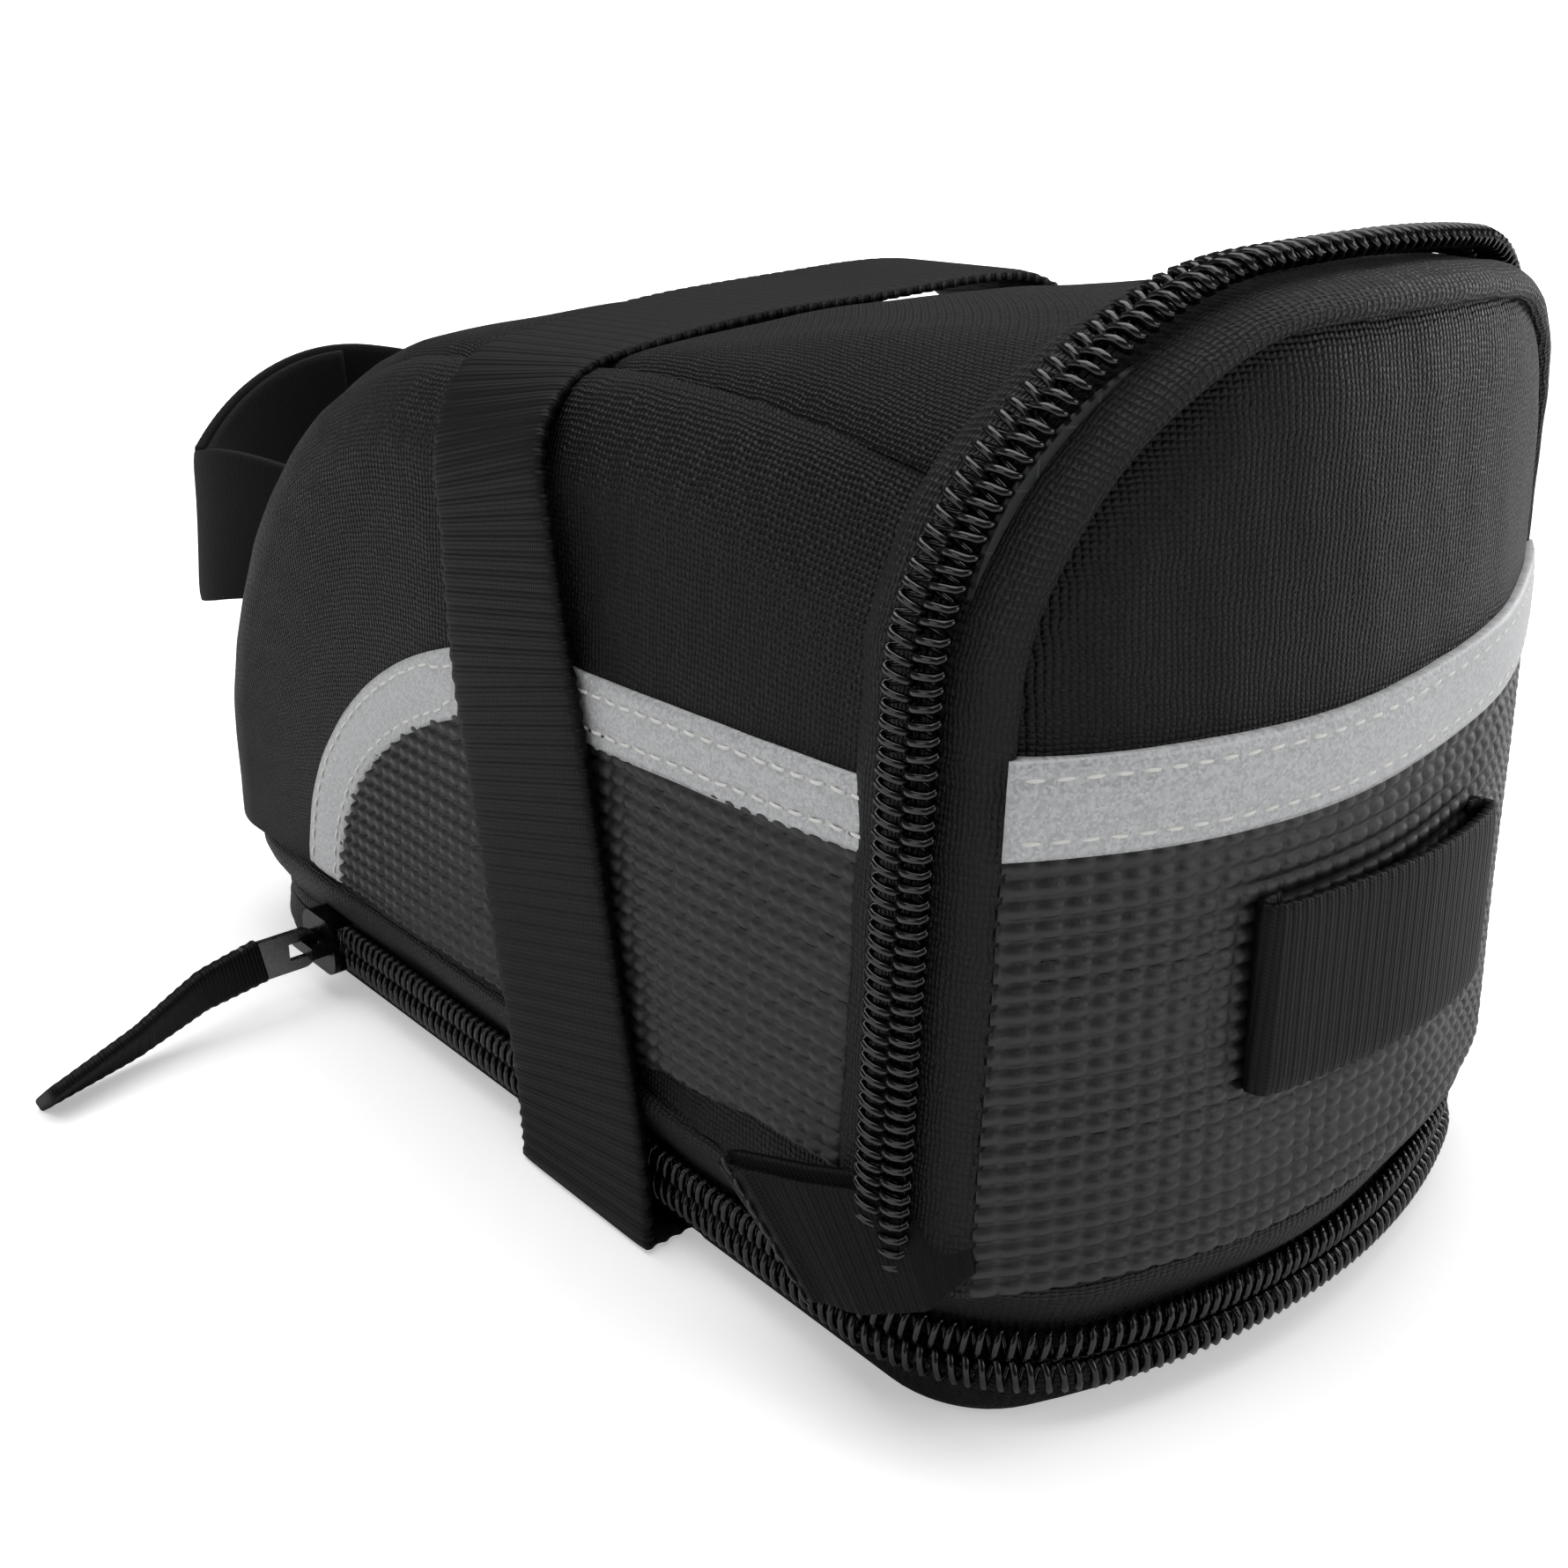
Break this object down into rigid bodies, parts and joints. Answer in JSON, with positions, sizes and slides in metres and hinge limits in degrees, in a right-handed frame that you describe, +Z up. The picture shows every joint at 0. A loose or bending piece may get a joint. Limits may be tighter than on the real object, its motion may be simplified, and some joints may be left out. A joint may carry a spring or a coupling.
{
  "type": "bicycle saddle bag",
  "caption": "Wedge-shaped bicycle saddle bag with a zipped rear door, zip-expanding base, saddle-rail strap with buckle, and hook-and-loop seat-post strap.",
  "frame": {"origin": "middle of the flat underside of the base, on the plane it rests on", "axes": "+Z up, +Y forward towards the seat post, -Y the rear door, +X the bag's right side as mounted"},
  "size_m": [0.1467, 0.2369, 0.1124],
  "materials": {
    "pack_cloth": "woven, matt",
    "embossed_vinyl": "embossed grid, satin",
    "reflective_film": "retroreflective, satin",
    "webbing": "ribbed weave",
    "zip_tape": "twill tape",
    "zip_coil": "glossy nylon coil",
    "foam": "closed cell foam",
    "lining_cloth": "thin nylon",
    "hook_and_loop": "brushed",
    "buckle_plastic": "moulded acetal",
    "slider_metal": "black lacquered zinc",
    "pull_rubber": "soft moulded",
    "stiffener": "sheet",
    "thread": "polyester thread"
  },
  "bodies": {
    "base": {"base_pan": "pack_cloth", "base_board": "stiffener", "expansion_tape_lower": "zip_tape", "expansion_coil_lower": "zip_coil", "expansion_gusset": "lining_cloth", "strap_under_base": "webbing"},
    "bag": {"side_panel_left_upper": "pack_cloth", "side_panel_right_upper": "pack_cloth", "side_panel_left_lower": "embossed_vinyl", "side_panel_right_lower": "embossed_vinyl", "reflective_band_left": "reflective_film", "reflective_band_right": "reflective_film", "top_nose_panel": "pack_cloth", "side_foam_left": "foam", "side_foam_right": "foam", "top_foam": "foam", "nose_foam": "foam", "lining": "lining_cloth", "body_zip_tape": "zip_tape", "body_zip_coil": "zip_coil", "skirt": "pack_cloth", "expansion_tape_upper": "zip_tape", "expansion_coil_upper": "zip_coil", "strap_over_top": "webbing", "strap_left_run": "webbing", "strap_right_upper": "webbing", "strap_right_lower": "webbing", "strap_bartack": "thread", "buckle_socket": "buckle_plastic", "seatpost_strap_fixed": "hook_and_loop", "seatpost_anchor_patch": "hook_and_loop", "finger_tab": "webbing"},
    "door": {"door_panel_upper": "pack_cloth", "door_panel_lower": "embossed_vinyl", "reflective_band_rear": "reflective_film", "door_foam": "foam", "door_lining": "lining_cloth", "door_zip_tape": "zip_tape", "door_zip_coil": "zip_coil", "light_loop": "webbing"},
    "main_slider": {"main_slider": "slider_metal"},
    "main_pull": {"main_pull": "pull_rubber"},
    "expansion_slider": {"expansion_slider": "slider_metal"},
    "expansion_pull": {"expansion_pull": "slider_metal", "expansion_pull_tape": "webbing"},
    "seatpost_flap": {"seatpost_strap_flap": "hook_and_loop"},
    "buckle_plug": {"buckle_plug": "buckle_plastic"}
  },
  "joints": [
    {"name": "bag_expansion", "type": "slide", "parent": "base", "child": "bag", "axis": [0, 0, 1], "range_m": [0, 0.02], "deforming": ["expansion_gusset", "strap_left_run", "strap_right_lower"]},
    {"name": "door_hinge", "type": "hinge", "parent": "bag", "child": "door", "pos_m": [0, -0.093, 0.01915], "axis": [1, 0, 0], "range_deg": [0, 90]},
    {"name": "main_slider_travel", "type": "slide", "parent": "bag", "child": "main_slider", "axis": [-0.0494, 0.0319, 0.9983], "range_m": [0, 0.045]},
    {"name": "main_pull_swing", "type": "hinge", "parent": "main_slider", "child": "main_pull", "pos_m": [0.05436, -0.07101, 0.02526], "axis": [0, -0.9995, 0.0319], "range_deg": [0, 170]},
    {"name": "expansion_slider_travel", "type": "slide", "parent": "bag", "child": "expansion_slider", "axis": [0, -1, 0], "range_m": [0, 0.04]},
    {"name": "expansion_pull_swing", "type": "hinge", "parent": "expansion_slider", "child": "expansion_pull", "pos_m": [-0.05081, 0.042, 0.00805], "axis": [0, 0, 1], "range_deg": [-75, 75]},
    {"name": "seatpost_strap_open", "type": "hinge", "parent": "bag", "child": "seatpost_flap", "pos_m": [0.017, 0.07784, 0.04962], "axis": [0, 0.29, -0.957], "range_deg": [0, 35]},
    {"name": "buckle_release", "type": "slide", "parent": "bag", "child": "buckle_plug", "axis": [0.0473, -0.28, -0.9588], "range_m": [0, 0.014]}
  ]
}
